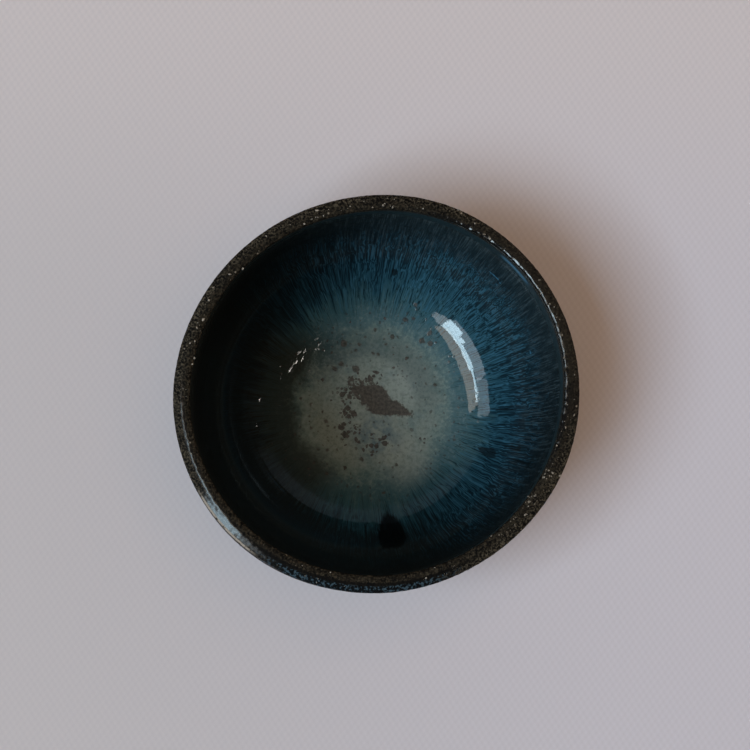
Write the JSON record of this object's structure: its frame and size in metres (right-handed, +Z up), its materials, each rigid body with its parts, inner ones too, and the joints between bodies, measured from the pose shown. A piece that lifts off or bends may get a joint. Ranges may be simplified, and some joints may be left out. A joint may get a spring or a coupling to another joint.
{
  "type": "soba choko cup",
  "caption": "Handleless wheel-thrown stoneware dipping cup with rounded wall, turned foot ring, iron-brown lip and blue streaked glaze that pools in the well.",
  "frame": {"origin": "middle of the foot ring's resting face", "axes": "+Z up along the axis of the cup, +X and +Y in the resting face"},
  "size_m": [0.084, 0.084, 0.0622],
  "materials": {
    "clay": "bare turned stoneware, matt",
    "liner_glaze": "gloss",
    "over_glaze": "gloss, streaked",
    "outer_glaze": "gloss, flecked",
    "rim_iron": "semi-matt, rough"
  },
  "bodies": {
    "root": {"clay_body": "clay", "liner_glaze": "liner_glaze", "over_glaze": "over_glaze", "outer_glaze": "outer_glaze", "rim_band": "rim_iron", "foot_glaze": "outer_glaze"}
  },
  "joints": []
}
